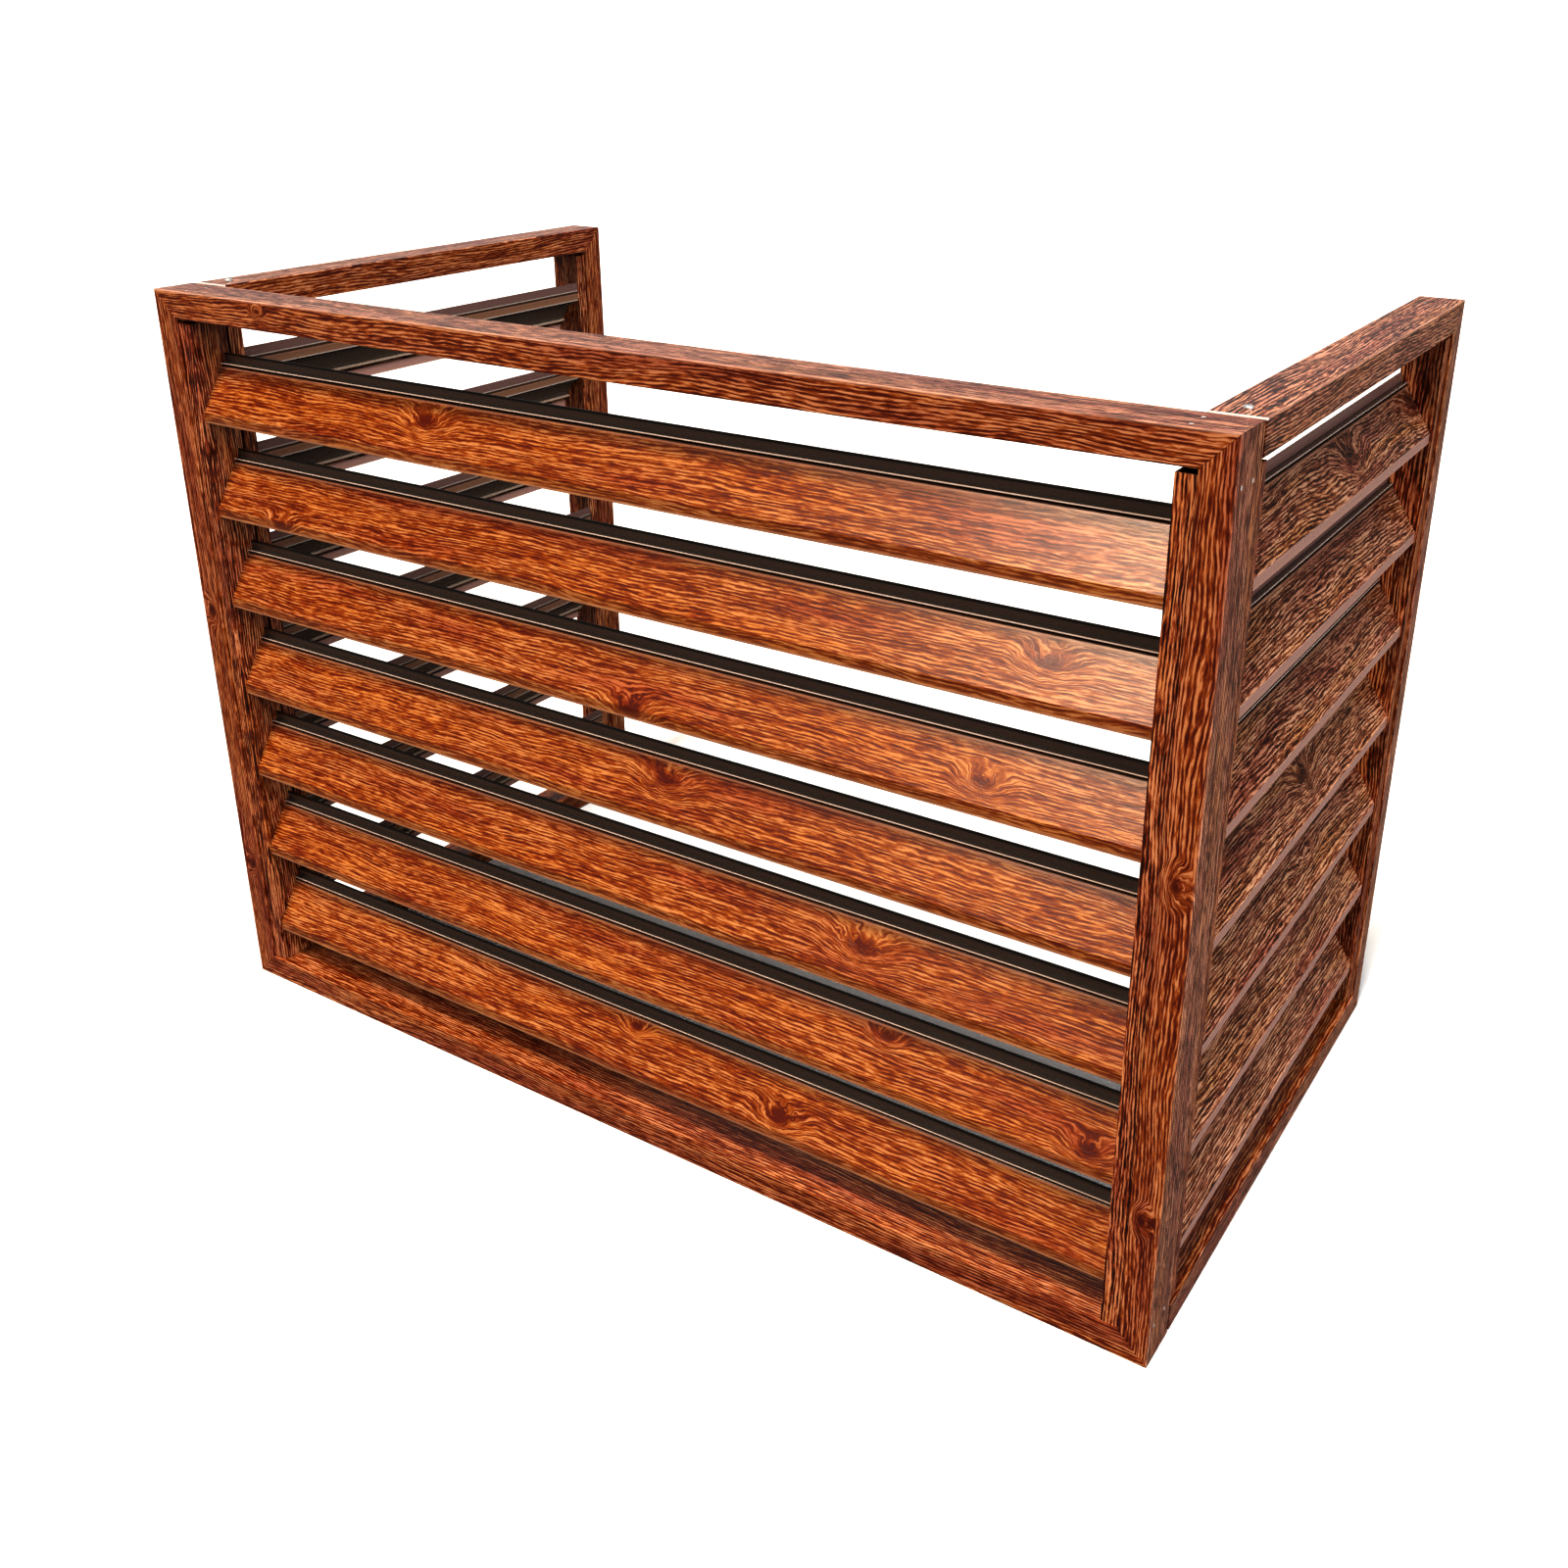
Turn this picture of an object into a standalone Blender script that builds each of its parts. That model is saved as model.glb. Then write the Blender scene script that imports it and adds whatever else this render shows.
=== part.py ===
# Louvred screen for the outdoor unit of an air conditioner: a front panel and two side
# panels of mitred aluminium box section with fixed blades, open at the top and the back.
# Metres, +Z up. The origin is on the floor under the middle, and the front faces -Y.

import math

import bmesh
import bpy
from mathutils import Matrix, Vector

# Overall size
WIDTH = 1.220
DEPTH = 0.690
HEIGHT = 0.870

# Box section of the frames
TUBE_FACE = 0.030
FRONT_TUBE_DEPTH = 0.052
SIDE_TUBE_DEPTH = 0.047
TUBE_WALL = 0.002
TUBE_EDGE_RADIUS = 0.001

# Joint between the front panel and a side panel
SEAM = 0.0035

# End strip that the blades are screwed to, a channel open towards the stile
STRIP_WIDTH = 0.0175
STRIP_WALL = 0.0018
STRIP_RECESS = 0.0025
STRIP_SIDE_GAP = 0.001
STRIP_TOP_GAP = 0.005
STRIP_RIB = 0.005
STRIP_GROOVE = 0.001
STRIP_GROOVE_DEPTH = 0.0006
STRIP_EDGE_RADIUS = 0.0008

# Blade: an upright lip, a sloping face, a ledge over an open slot, and an upright flange
BLADE_COUNT = 7
BLADE_TOP_GAP = 0.041
BLADE_BOTTOM_GAP = 0.0435
BLADE_WALL = 0.0018
NOSE_INSET = 0.0055
NOSE_RADIUS = 0.0012
LIP_HEIGHT = 0.0115
FACE_RISE = 0.047
FACE_RUN = 0.030
CREST_RADIUS = 0.0008
SLOT_HEIGHT = 0.0026
LEDGE_THICKNESS = 0.0012
LEDGE_DEPTH = 0.0065
FLANGE_RISE = 0.014
FLANGE_DROP = 0.0105
BLADE_EDGE_RADIUS = 0.0006

# Screw ports on the back of a blade
PORT_RADIUS = 0.0021
PORT_WALL = 0.0014
PORT_MOUTH = math.radians(36)
PORT_FROM_NOSE = 0.008
PORT_FROM_CREST = 0.012

# Corner cleat, cut from an angle extrusion, with its drive pins
CLEAT_LEG = 0.068
CLEAT_WEB = 0.003
CLEAT_TIP = 0.002
PIN_FROM_CORNER = 0.042
PIN_FROM_FRONT = 0.011
PIN_FROM_BACK = 0.016
PIN_RADIUS = 0.0021
PIN_WEB = 0.008

# Connector that carries a side rail on the front panel
CONNECTOR_LENGTH = 0.060
CONNECTOR_WALL = 0.003
CONNECTOR_EDGE_INSET = 0.003
CONNECTOR_SCREW_FROM_END = 0.025

# Pan head screw of the connectors
SCREW_RADIUS = 0.0024
SCREW_TIP = 0.0012
HEAD_RADIUS = 0.0044
HEAD_HEIGHT = 0.0026
HEAD_RIM = 0.0010
JOINING_LENGTH = 0.012
FIXING_LENGTH = 0.020
RECESS_LENGTH = 0.0048
RECESS_WIDTH = 0.0012
RECESS_DEPTH = 0.0014

# Fits
CLEARANCE = 0.0003
OVERRUN = 0.004
WELD = 0.00001

# Fineness of the curves
CORNER_STEPS = 2
DOME_STEPS = 3
PORT_OUTER_STEPS = 3
PORT_INNER_STEPS = 5
ROUND_STEPS = 12
HOLE_SIDES = 10
PORT_HOLE_SIDES = 6
SMOOTH_ANGLE = math.radians(40)

QUARTER = math.pi / 2

parts = bpy.data.collections.new("air_conditioner_screen")
cutters = bpy.data.collections.new("cutters")


def clear_scene():
    for item in list(bpy.data.objects):
        bpy.data.objects.remove(item)
    bpy.context.scene.collection.children.link(parts)
    bpy.context.scene.collection.children.link(cutters)


def linear(code):
    channels = [int(code[at:at + 2], 16) / 255 for at in (0, 2, 4)]
    return [c / 12.92 if c <= 0.04045 else ((c + 0.055) / 1.055) ** 2.4 for c in channels]


def finish(name, code, roughness, metallic):
    material = bpy.data.materials.new(name)
    material.use_nodes = True
    shader = material.node_tree.nodes["Principled BSDF"]
    shader.inputs["Base Color"].default_value = (*linear(code), 1)
    shader.inputs["Roughness"].default_value = roughness
    shader.inputs["Metallic"].default_value = metallic
    return material


def rounded(corners):
    # Closed outline from (corner, radius) pairs, each radius drawn as an arc.
    points = []
    for index, (corner, radius) in enumerate(corners):
        arriving = (corner - corners[index - 1][0]).normalized()
        leaving = (corners[(index + 1) % len(corners)][0] - corner).normalized()
        turn = math.atan2(arriving.cross(leaving), arriving.dot(leaving))
        if not radius:
            points.append(corner)
            continue
        start = corner - arriving * radius * math.tan(abs(turn) / 2)
        centre = start + Vector((-arriving.y, arriving.x)) * math.copysign(radius, turn)
        first = math.atan2(start.y - centre.y, start.x - centre.x)
        for step in range(CORNER_STEPS + 1):
            angle = first + turn * step / CORNER_STEPS
            points.append(centre + radius * Vector((math.cos(angle), math.sin(angle))))
    return points


def rectangle(low, high, radius):
    places = [(low[0], low[1]), (high[0], low[1]), (high[0], high[1]), (low[0], high[1])]
    return rounded([(Vector(place), radius) for place in places])


def extruded(name, loops, length):
    # Solid of an outline and its holes, drawn in X and Y and extruded along Z.
    drawing = bpy.data.curves.new(name, "CURVE")
    drawing.dimensions = "2D"
    drawing.fill_mode = "BOTH"
    drawing.extrude = length / 2
    for loop in loops:
        spline = drawing.splines.new("POLY")
        spline.points.add(len(loop) - 1)
        spline.use_cyclic_u = True
        for point, place in zip(spline.points, loop):
            point.co = (place[0], place[1], 0, 1)
    drawn = bpy.data.objects.new(name, drawing)
    parts.objects.link(drawn)
    graph = bpy.context.evaluated_depsgraph_get()
    mesh = bpy.data.meshes.new_from_object(drawn.evaluated_get(graph))
    mesh.name = name
    bpy.data.objects.remove(drawn)
    bpy.data.curves.remove(drawing)
    work = bmesh.new()
    work.from_mesh(mesh)
    bmesh.ops.remove_doubles(work, verts=work.verts, dist=WELD)
    bmesh.ops.recalc_face_normals(work, faces=work.faces)
    work.to_mesh(mesh)
    work.free()
    return mesh


def boxes(name, spans):
    # Mesh of boxes, each given by its low and high corner.
    work = bmesh.new()
    for low, high in spans:
        size = Vector(high) - Vector(low)
        middle = (Vector(high) + Vector(low)) / 2
        place = Matrix.Translation(middle) @ Matrix.Diagonal((*size, 1))
        bmesh.ops.create_cube(work, size=1, matrix=place)
    mesh = bpy.data.meshes.new(name)
    work.to_mesh(mesh)
    work.free()
    return mesh


def rods(name, bores, radius, sides):
    # Mesh of round rods, each given by the ends of its axis.
    work = bmesh.new()
    for start, end in bores:
        axis = Vector(end) - Vector(start)
        turn = axis.to_track_quat("Z", "Y").to_matrix().to_4x4()
        place = Matrix.Translation((Vector(start) + Vector(end)) / 2) @ turn
        bmesh.ops.create_cone(work, cap_ends=True, segments=sides, radius1=radius,
                              radius2=radius, depth=axis.length, matrix=place)
    mesh = bpy.data.meshes.new(name)
    work.to_mesh(mesh)
    work.free()
    return mesh


def add(name, mesh, parent, material, place=(0, 0, 0), turn=0):
    item = bpy.data.objects.new(name, mesh)
    parts.objects.link(item)
    item.parent = parent
    item.location = place
    item.rotation_euler = (0, turn, 0)
    if material.name not in mesh.materials:
        mesh.materials.append(material)
    mesh.shade_smooth()
    mesh.set_sharp_from_angle(angle=SMOOTH_ANGLE)
    return item


def helper(name, mesh, parent, place=(0, 0, 0), turn=0):
    item = bpy.data.objects.new(name, mesh)
    cutters.objects.link(item)
    item.parent = parent
    item.location = place
    item.rotation_euler = (0, turn, 0)
    item.hide_render = True
    item.display_type = "WIRE"
    return item


def combine(part, other, operation):
    modifier = part.modifiers.new(f"{operation.lower()} {other.name}", "BOOLEAN")
    modifier.operation = operation
    modifier.solver = "EXACT"
    modifier.object = other


def panel_base(name, place, turn):
    # Local X runs along the panel, Y inwards from its outer face, Z up from the floor.
    base = bpy.data.objects.new(name, None)
    parts.objects.link(base)
    base.location = place
    base.rotation_euler = (0, 0, turn)
    return base


def tube(name, panel, depth, length, mitred_low, mitred_high, place, turn):
    # Box section along X with its outer side at Z = 0 and 45 degree mitres where asked.
    outer = rectangle((0, 0), (depth, TUBE_FACE), TUBE_EDGE_RADIUS)
    inner = rectangle((TUBE_WALL, TUBE_WALL), (depth - TUBE_WALL, TUBE_FACE - TUBE_WALL), 0)
    mesh = extruded(name, [outer, inner], length)
    mesh.transform(Matrix(((0, 0, 1, 0), (1, 0, 0, 0), (0, 1, 0, 0), (0, 0, 0, 1))))
    set_back = CLEARANCE / math.sqrt(2)
    for vertex in mesh.vertices:
        if vertex.co.x > 0 and mitred_high:
            vertex.co.x -= vertex.co.z + set_back
        if vertex.co.x < 0 and mitred_low:
            vertex.co.x += vertex.co.z + set_back
    return add(name, mesh, panel, frame_wood, place, turn)


def pin_depths(depth):
    return (PIN_FROM_FRONT, depth - PIN_FROM_BACK)


def cleat_outline():
    inset = TUBE_WALL + CLEARANCE
    elbow = TUBE_FACE - inset
    corners = [(inset, inset, 0), (CLEAT_LEG, inset, CLEAT_TIP), (CLEAT_LEG, elbow, CLEAT_TIP),
               (elbow, elbow, 0), (elbow, CLEAT_LEG, CLEAT_TIP), (inset, CLEAT_LEG, CLEAT_TIP)]
    return rounded([(Vector((x, y)), radius) for x, y, radius in corners])


def cleat_chambers(depth):
    # Hollows of the extrusion on either side of the pins, in both legs.
    near = TUBE_WALL + CLEARANCE + CLEAT_WEB
    far = TUBE_FACE - near
    ends = ((TUBE_FACE, PIN_FROM_CORNER - PIN_WEB / 2),
            (PIN_FROM_CORNER + PIN_WEB / 2, CLEAT_LEG - CLEAT_WEB))
    spans = []
    for low, high in ends:
        spans.append(((low, -OVERRUN, near), (high, depth + OVERRUN, far)))
        spans.append(((near, -OVERRUN, low), (far, depth + OVERRUN, high)))
    return spans


def cleat_ports(depth):
    # Screw ports through the elbow, one for each way round that the cleat is fitted.
    across = SIDE_TUBE_DEPTH / 2
    up = TUBE_FACE / 2
    return [((x, -OVERRUN, z), (x, depth + OVERRUN, z)) for x, z in ((across, up), (up, across))]


def cleat(name, panel, depth, place, turn):
    inset = TUBE_WALL + CLEARANCE
    mesh = extruded(name, [cleat_outline()], depth - 2 * inset)
    mesh.transform(Matrix.Translation((0, depth / 2, 0)) @ Matrix.Rotation(QUARTER, 4, "X"))
    item = add(name, mesh, panel, cast_aluminium, place, turn)
    chambers = boxes(f"{name}_chambers", cleat_chambers(depth))
    ports = rods(f"{name}_ports", cleat_ports(depth), SCREW_RADIUS + CLEARANCE, HOLE_SIDES)
    root = inset + CLEAT_WEB + CLEARANCE
    bores = []
    for y in pin_depths(depth):
        bores.append(((PIN_FROM_CORNER, y, CLEARANCE), (PIN_FROM_CORNER, y, root)))
        bores.append(((CLEARANCE, y, PIN_FROM_CORNER), (root, y, PIN_FROM_CORNER)))
    pins = rods(f"{name}_pins", bores, PIN_RADIUS, HOLE_SIDES)
    combine(item, helper(chambers.name, chambers, panel, place, turn), "DIFFERENCE")
    combine(item, helper(ports.name, ports, panel, place, turn), "DIFFERENCE")
    combine(item, helper(pins.name, pins, panel, place, turn), "UNION")
    return item


def drill_pins(part, panel, depth, length, low, high):
    # Holes for the drive pins through the outer wall of a tube, at its mitred ends.
    reach = length / 2 - PIN_FROM_CORNER
    ends = [-reach] * low + [reach] * high
    bores = []
    for x in ends:
        for y in pin_depths(depth):
            bores.append(((x, y, -OVERRUN), (x, y, TUBE_WALL + OVERRUN)))
    holes = rods(f"{part.name}_pin_holes", bores, PIN_RADIUS + CLEARANCE, HOLE_SIDES)
    place = part.location
    turn = part.rotation_euler.y
    combine(part, helper(f"{part.name}_pin_holes", holes, panel, place, turn), "DIFFERENCE")


def frame_tube(name, panel, depth, length, place, turn, low=True, high=True):
    part = tube(name, panel, depth, length, low, high, place, turn)
    drill_pins(part, panel, depth, length, low, high)
    return part


def blade_front():
    # Front of the blade: the foot of its lip, the nose and the crest of its face.
    return [Vector((0, 0)), Vector((0, LIP_HEIGHT)), Vector((FACE_RUN, LIP_HEIGHT + FACE_RISE))]


def blade_back():
    # Back of the lip and of the face: the foot, the bend and the meeting with the flange's web.
    foot, nose, crest = blade_front()
    rise = (crest - nose).normalized()
    lean = (nose - foot).normalized()
    behind_lip = foot + BLADE_WALL * Vector((lean.y, -lean.x))
    behind_face = nose + BLADE_WALL * Vector((rise.y, -rise.x))
    along = (behind_face - behind_lip).cross(rise) / lean.cross(rise)
    bend = behind_lip + lean * along
    meeting = behind_face + rise * (crest.y - BLADE_WALL - behind_face.y) / rise.y
    return behind_lip, bend, meeting


def port_centres():
    _, bend, meeting = blade_back()
    rise = (meeting - bend).normalized()
    off = PORT_RADIUS * Vector((rise.y, -rise.x))
    return [meeting - rise * PORT_FROM_CREST + off, bend + rise * PORT_FROM_NOSE + off]


def port_outline(centre, along):
    # Open ring on the back of the face, walked along the face, with its mouth turned away.
    away = Vector((-along.y, along.x))
    outer = PORT_RADIUS + PORT_WALL
    root = math.acos(PORT_RADIUS / outer)
    mouth = math.pi - PORT_MOUTH
    arcs = [(outer, -root, -mouth, PORT_OUTER_STEPS), (PORT_RADIUS, -mouth, mouth, PORT_INNER_STEPS),
            (outer, mouth, root, PORT_OUTER_STEPS)]
    points = []
    for radius, first, last, steps in arcs:
        for step in range(steps + 1):
            angle = first + (last - first) * step / steps
            points.append(centre + radius * (along * math.sin(angle) - away * math.cos(angle)))
    return points


def flange_corners(crest):
    # Slot, ledge and flange behind the crest, down to the underside of the flange's web.
    front = crest.x + LEDGE_DEPTH
    back = front + BLADE_WALL
    roof = crest.y + SLOT_HEIGHT
    ledge = roof + LEDGE_THICKNESS
    tip = crest.y + FLANGE_RISE
    drop = crest.y - FLANGE_DROP
    edge = BLADE_EDGE_RADIUS
    corners = [(front, crest.y, 0), (front, roof, 0), (crest.x, roof, 0), (crest.x, ledge, edge),
               (front, ledge, 0), (front, tip, edge), (back, tip, edge), (back, drop, 0),
               (front, drop, 0), (front, crest.y - BLADE_WALL, 0)]
    return [(Vector((x, y)), radius) for x, y, radius in corners]


def blade_outline():
    foot, nose, crest = blade_front()
    foot_back, bend, meeting = blade_back()
    corners = [(foot, BLADE_EDGE_RADIUS), (nose, NOSE_RADIUS), (crest, CREST_RADIUS)]
    corners += flange_corners(crest)
    corners += [(meeting, 0), (bend, 0), (foot_back, BLADE_EDGE_RADIUS)]
    outline = rounded(corners)
    at = outline.index(bend)
    down = (bend - meeting).normalized()
    ports = []
    for centre in port_centres():
        ports += port_outline(centre, down)
    return outline[:at] + ports + outline[at:]


def blade_height():
    return LIP_HEIGHT + FACE_RISE + FLANGE_RISE


def blade_feet():
    # Heights of the blades' feet from the top one down, evenly spaced.
    top = HEIGHT - TUBE_FACE - BLADE_TOP_GAP - blade_height()
    bottom = TUBE_FACE + BLADE_BOTTOM_GAP
    pitch = (top - bottom) / (BLADE_COUNT - 1)
    return [top - pitch * number for number in range(BLADE_COUNT)]


def add_blades(side, panel, low, high):
    length = high - low - 2 * CLEARANCE
    mesh = extruded(f"{side}_louvre", [blade_outline()], length)
    mesh.transform(Matrix(((0, 0, 1, 0), (1, 0, 0, 0), (0, 1, 0, 0), (0, 0, 0, 1))))
    for number, foot in enumerate(blade_feet()):
        place = ((low + high) / 2, NOSE_INSET, foot)
        add(f"{side}_louvre_{number + 1}", mesh, panel, louvre_wood, place)


def strip_outline(depth, side):
    # Channel whose web stands against the blades, with a grooved line in both flanges.
    low = STRIP_RECESS
    high = depth - STRIP_RECESS
    rib = STRIP_RIB
    land = STRIP_RIB + STRIP_GROOVE
    sunk_low = low + STRIP_GROOVE_DEPTH
    sunk_high = high - STRIP_GROOVE_DEPTH
    web = STRIP_WIDTH - STRIP_WALL
    corners = [(0, low), (rib, low), (rib, sunk_low), (land, sunk_low), (land, low),
               (STRIP_WIDTH, low), (STRIP_WIDTH, high), (land, high), (land, sunk_high),
               (rib, sunk_high), (rib, high), (0, high), (0, high - STRIP_WALL),
               (web, high - STRIP_WALL), (web, low + STRIP_WALL), (0, low + STRIP_WALL)]
    outer_edges = ((STRIP_WIDTH, low), (STRIP_WIDTH, high))
    return rounded([(Vector((side * x, y)), STRIP_EDGE_RADIUS * ((x, y) in outer_edges))
                    for x, y in corners])


def add_strip(name, panel, depth, x, side):
    # The open edge is at x, and the web is one strip width further on the given side.
    bottom = TUBE_FACE + CLEARANCE
    height = HEIGHT - TUBE_FACE - STRIP_TOP_GAP - bottom
    mesh = extruded(name, [strip_outline(depth, side)], height)
    part = add(name, mesh, panel, strip_wood, (x, 0, bottom + height / 2))
    web = x + side * STRIP_WIDTH
    bores = []
    for foot in blade_feet():
        for centre in port_centres():
            y = NOSE_INSET + centre.x
            z = foot + centre.y
            bores.append(((web - OVERRUN, y, z), (web + OVERRUN, y, z)))
    holes = rods(f"{name}_screw_holes", bores, PORT_RADIUS + CLEARANCE, PORT_HOLE_SIDES)
    combine(part, helper(f"{name}_screw_holes", holes, panel), "DIFFERENCE")


def screw_mesh(name, length):
    # Half profile of a pan head screw with its point down and its head seat at Z = 0.
    rise = HEAD_HEIGHT - HEAD_RIM
    profile = []
    for step in range(DOME_STEPS + 1):
        angle = QUARTER * step / DOME_STEPS
        profile.append((HEAD_RADIUS * math.sin(angle), HEAD_RIM + rise * math.cos(angle)))
    profile += [(HEAD_RADIUS, 0), (SCREW_RADIUS, 0), (SCREW_RADIUS, SCREW_RADIUS - length),
                (SCREW_TIP, -length), (0, -length)]
    work = bmesh.new()
    points = [work.verts.new((x, 0, z)) for x, z in profile]
    for upper, lower in zip(points, points[1:]):
        work.edges.new((upper, lower))
    mesh = bpy.data.meshes.new(name)
    work.to_mesh(mesh)
    work.free()
    return mesh


def add_screw(name, panel, length, seat, direction):
    # The head's seat is at the given place, and the head stands on the direction's side.
    part = add(name, screw_mesh(name, length), panel, screw_steel, seat)
    axis = Vector(direction)
    part.rotation_euler = axis.to_track_quat("Z", "Y").to_euler()
    turned = part.modifiers.new("turned profile", "SCREW")
    turned.axis = "Z"
    turned.steps = ROUND_STEPS
    turned.render_steps = ROUND_STEPS
    turned.use_merge_vertices = True
    turned.merge_threshold = WELD
    turned.use_smooth_shade = True
    half = RECESS_LENGTH / 2
    thin = RECESS_WIDTH / 2
    floor = HEAD_HEIGHT - RECESS_DEPTH
    top = HEAD_HEIGHT + OVERRUN
    spans = [((-half, -thin, floor), (half, thin, top)), ((-thin, -half, floor), (thin, half, top))]
    for number, span in enumerate(spans):
        cross = helper(f"{name}_recess_{number + 1}", boxes(f"{name}_recess", [span]), panel, seat)
        cross.rotation_euler = part.rotation_euler
        combine(part, cross, "DIFFERENCE")
    return part


def bored(part, panel, name, start, end, radius):
    hole = helper(name, rods(name, [(start, end)], radius, HOLE_SIDES), panel)
    combine(part, hole, "DIFFERENCE")


def add_connector(name, panel, rail, front, side, level, z_low):
    # Sleeve inside the rail's front end, closed by a plate that fills the seam. `front` is
    # the front panel's back face, `side` the way to the rear and `level` 1 at the top.
    inset = TUBE_WALL + CLEARANCE
    plate_start = front + side * CLEARANCE
    plate_end = front + side * (SEAM - CLEARANCE)
    sleeve_end = plate_start + side * CONNECTOR_LENGTH
    sleeve_start = (plate_start + plate_end) / 2
    outer = rectangle((inset, inset), (SIDE_TUBE_DEPTH - inset, TUBE_FACE - inset), 0)
    deep = inset + CONNECTOR_WALL
    inner = rectangle((deep, deep), (SIDE_TUBE_DEPTH - deep, TUBE_FACE - deep), 0)
    mesh = extruded(name, [outer, inner], abs(sleeve_end - sleeve_start))
    mesh.transform(Matrix(((0, 0, 1, 0), (1, 0, 0, 0), (0, 1, 0, 0), (0, 0, 0, 1))))
    part = add(name, mesh, panel, cast_aluminium, ((sleeve_start + sleeve_end) / 2, 0, z_low))
    edge = CONNECTOR_EDGE_INSET
    low = (min(plate_start, plate_end), edge, z_low + edge)
    high = (max(plate_start, plate_end), SIDE_TUBE_DEPTH - edge, z_low + TUBE_FACE - edge)
    combine(part, helper(f"{name}_plate", boxes(f"{name}_plate", [(low, high)]), panel), "UNION")
    middle = (SIDE_TUBE_DEPTH / 2, z_low + TUBE_FACE / 2)
    radius = SCREW_RADIUS + CLEARANCE
    bored(part, panel, f"{name}_fixing_hole", (front - side * OVERRUN, *middle),
          (plate_end + side * OVERRUN, *middle), radius)
    screw_x = front + side * (SEAM + CONNECTOR_SCREW_FROM_END)
    if level:
        surface = (screw_x, SIDE_TUBE_DEPTH / 2, HEIGHT)
        outwards = (0, 0, 1)
    else:
        surface = (screw_x, SIDE_TUBE_DEPTH, TUBE_FACE / 2)
        outwards = (0, 1, 0)
    start = Vector(surface) + OVERRUN * Vector(outwards)
    end = Vector(surface) - (deep + OVERRUN) * Vector(outwards)
    for owner in (part, rail):
        bored(owner, panel, f"{owner.name}_joining_hole", start, end, radius)
    add_screw(name.replace("connector", "joining_screw"), panel, JOINING_LENGTH,
              Vector(surface) + CLEARANCE * Vector(outwards), outwards)
    seat = (plate_end + side * CLEARANCE, *middle)
    add_screw(name.replace("connector", "fixing_screw"), panel, FIXING_LENGTH, seat, (side, 0, 0))


def front_panel():
    panel = panel_base("front_panel", (0, -DEPTH / 2, 0), 0)
    depth = FRONT_TUBE_DEPTH
    half = WIDTH / 2
    middle = HEIGHT / 2
    frame_tube("front_bottom_rail", panel, depth, WIDTH, (0, 0, 0), 0)
    frame_tube("front_top_rail", panel, depth, WIDTH, (0, 0, HEIGHT), 2 * QUARTER)
    frame_tube("front_right_stile", panel, depth, HEIGHT, (half, 0, middle), -QUARTER)
    frame_tube("front_left_stile", panel, depth, HEIGHT, (-half, 0, middle), QUARTER)
    cleat("front_bottom_left_cleat", panel, depth, (-half, 0, 0), 0)
    cleat("front_bottom_right_cleat", panel, depth, (half, 0, 0), -QUARTER)
    cleat("front_top_right_cleat", panel, depth, (half, 0, HEIGHT), 2 * QUARTER)
    cleat("front_top_left_cleat", panel, depth, (-half, 0, HEIGHT), QUARTER)
    edge = half - TUBE_FACE - STRIP_SIDE_GAP
    add_strip("front_left_strip", panel, depth, -edge, 1)
    add_strip("front_right_strip", panel, depth, edge, -1)
    add_blades("front", panel, STRIP_WIDTH - edge, edge - STRIP_WIDTH)


def drill_front_frame():
    # Holes for the fixing screws through the back wall of the front panel's rails.
    panel = bpy.data.objects["front_panel"]
    across = WIDTH / 2 - SIDE_TUBE_DEPTH / 2
    for rail, z in (("front_top_rail", HEIGHT - TUBE_FACE / 2), ("front_bottom_rail", TUBE_FACE / 2)):
        bores = []
        for x in (-across, across):
            bores.append(((x, FRONT_TUBE_DEPTH - TUBE_WALL - OVERRUN, z),
                          (x, FRONT_TUBE_DEPTH + OVERRUN, z)))
        holes = rods(f"{rail}_fixing_holes", bores, SCREW_RADIUS + CLEARANCE, HOLE_SIDES)
        combine(bpy.data.objects[rail], helper(f"{rail}_fixing_holes", holes, panel), "DIFFERENCE")


def side_panel(name, side):
    # `side` is 1 on the right, where local X runs to the rear, and -1 on the left.
    depth = SIDE_TUBE_DEPTH
    length = DEPTH - FRONT_TUBE_DEPTH - SEAM
    centre_y = (FRONT_TUBE_DEPTH + SEAM) / 2
    panel = panel_base(f"{name}_panel", (side * WIDTH / 2, centre_y, 0), side * QUARTER)
    front = -side * length / 2
    rear = side * length / 2
    right = side > 0
    bottom = frame_tube(f"{name}_bottom_rail", panel, depth, length, (0, 0, 0), 0, not right, right)
    top = frame_tube(f"{name}_top_rail", panel, depth, length, (0, 0, HEIGHT), 2 * QUARTER,
                     right, not right)
    frame_tube(f"{name}_rear_stile", panel, depth, HEIGHT, (rear, 0, HEIGHT / 2), -side * QUARTER)
    low_turn = -QUARTER if right else 0
    high_turn = 2 * QUARTER if right else QUARTER
    cleat(f"{name}_rear_bottom_cleat", panel, depth, (rear, 0, 0), low_turn)
    cleat(f"{name}_rear_top_cleat", panel, depth, (rear, 0, HEIGHT), high_turn)
    rear_edge = rear - side * (TUBE_FACE + STRIP_SIDE_GAP)
    add_strip(f"{name}_front_strip", panel, depth, front, side)
    add_strip(f"{name}_rear_strip", panel, depth, rear_edge, -side)
    ends = sorted((front + side * STRIP_WIDTH, rear_edge - side * STRIP_WIDTH))
    add_blades(name, panel, *ends)
    face = front - side * SEAM
    add_connector(f"{name}_bottom_connector", panel, bottom, face, side, 0, 0)
    add_connector(f"{name}_top_connector", panel, top, face, side, 1, HEIGHT - TUBE_FACE)


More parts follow.
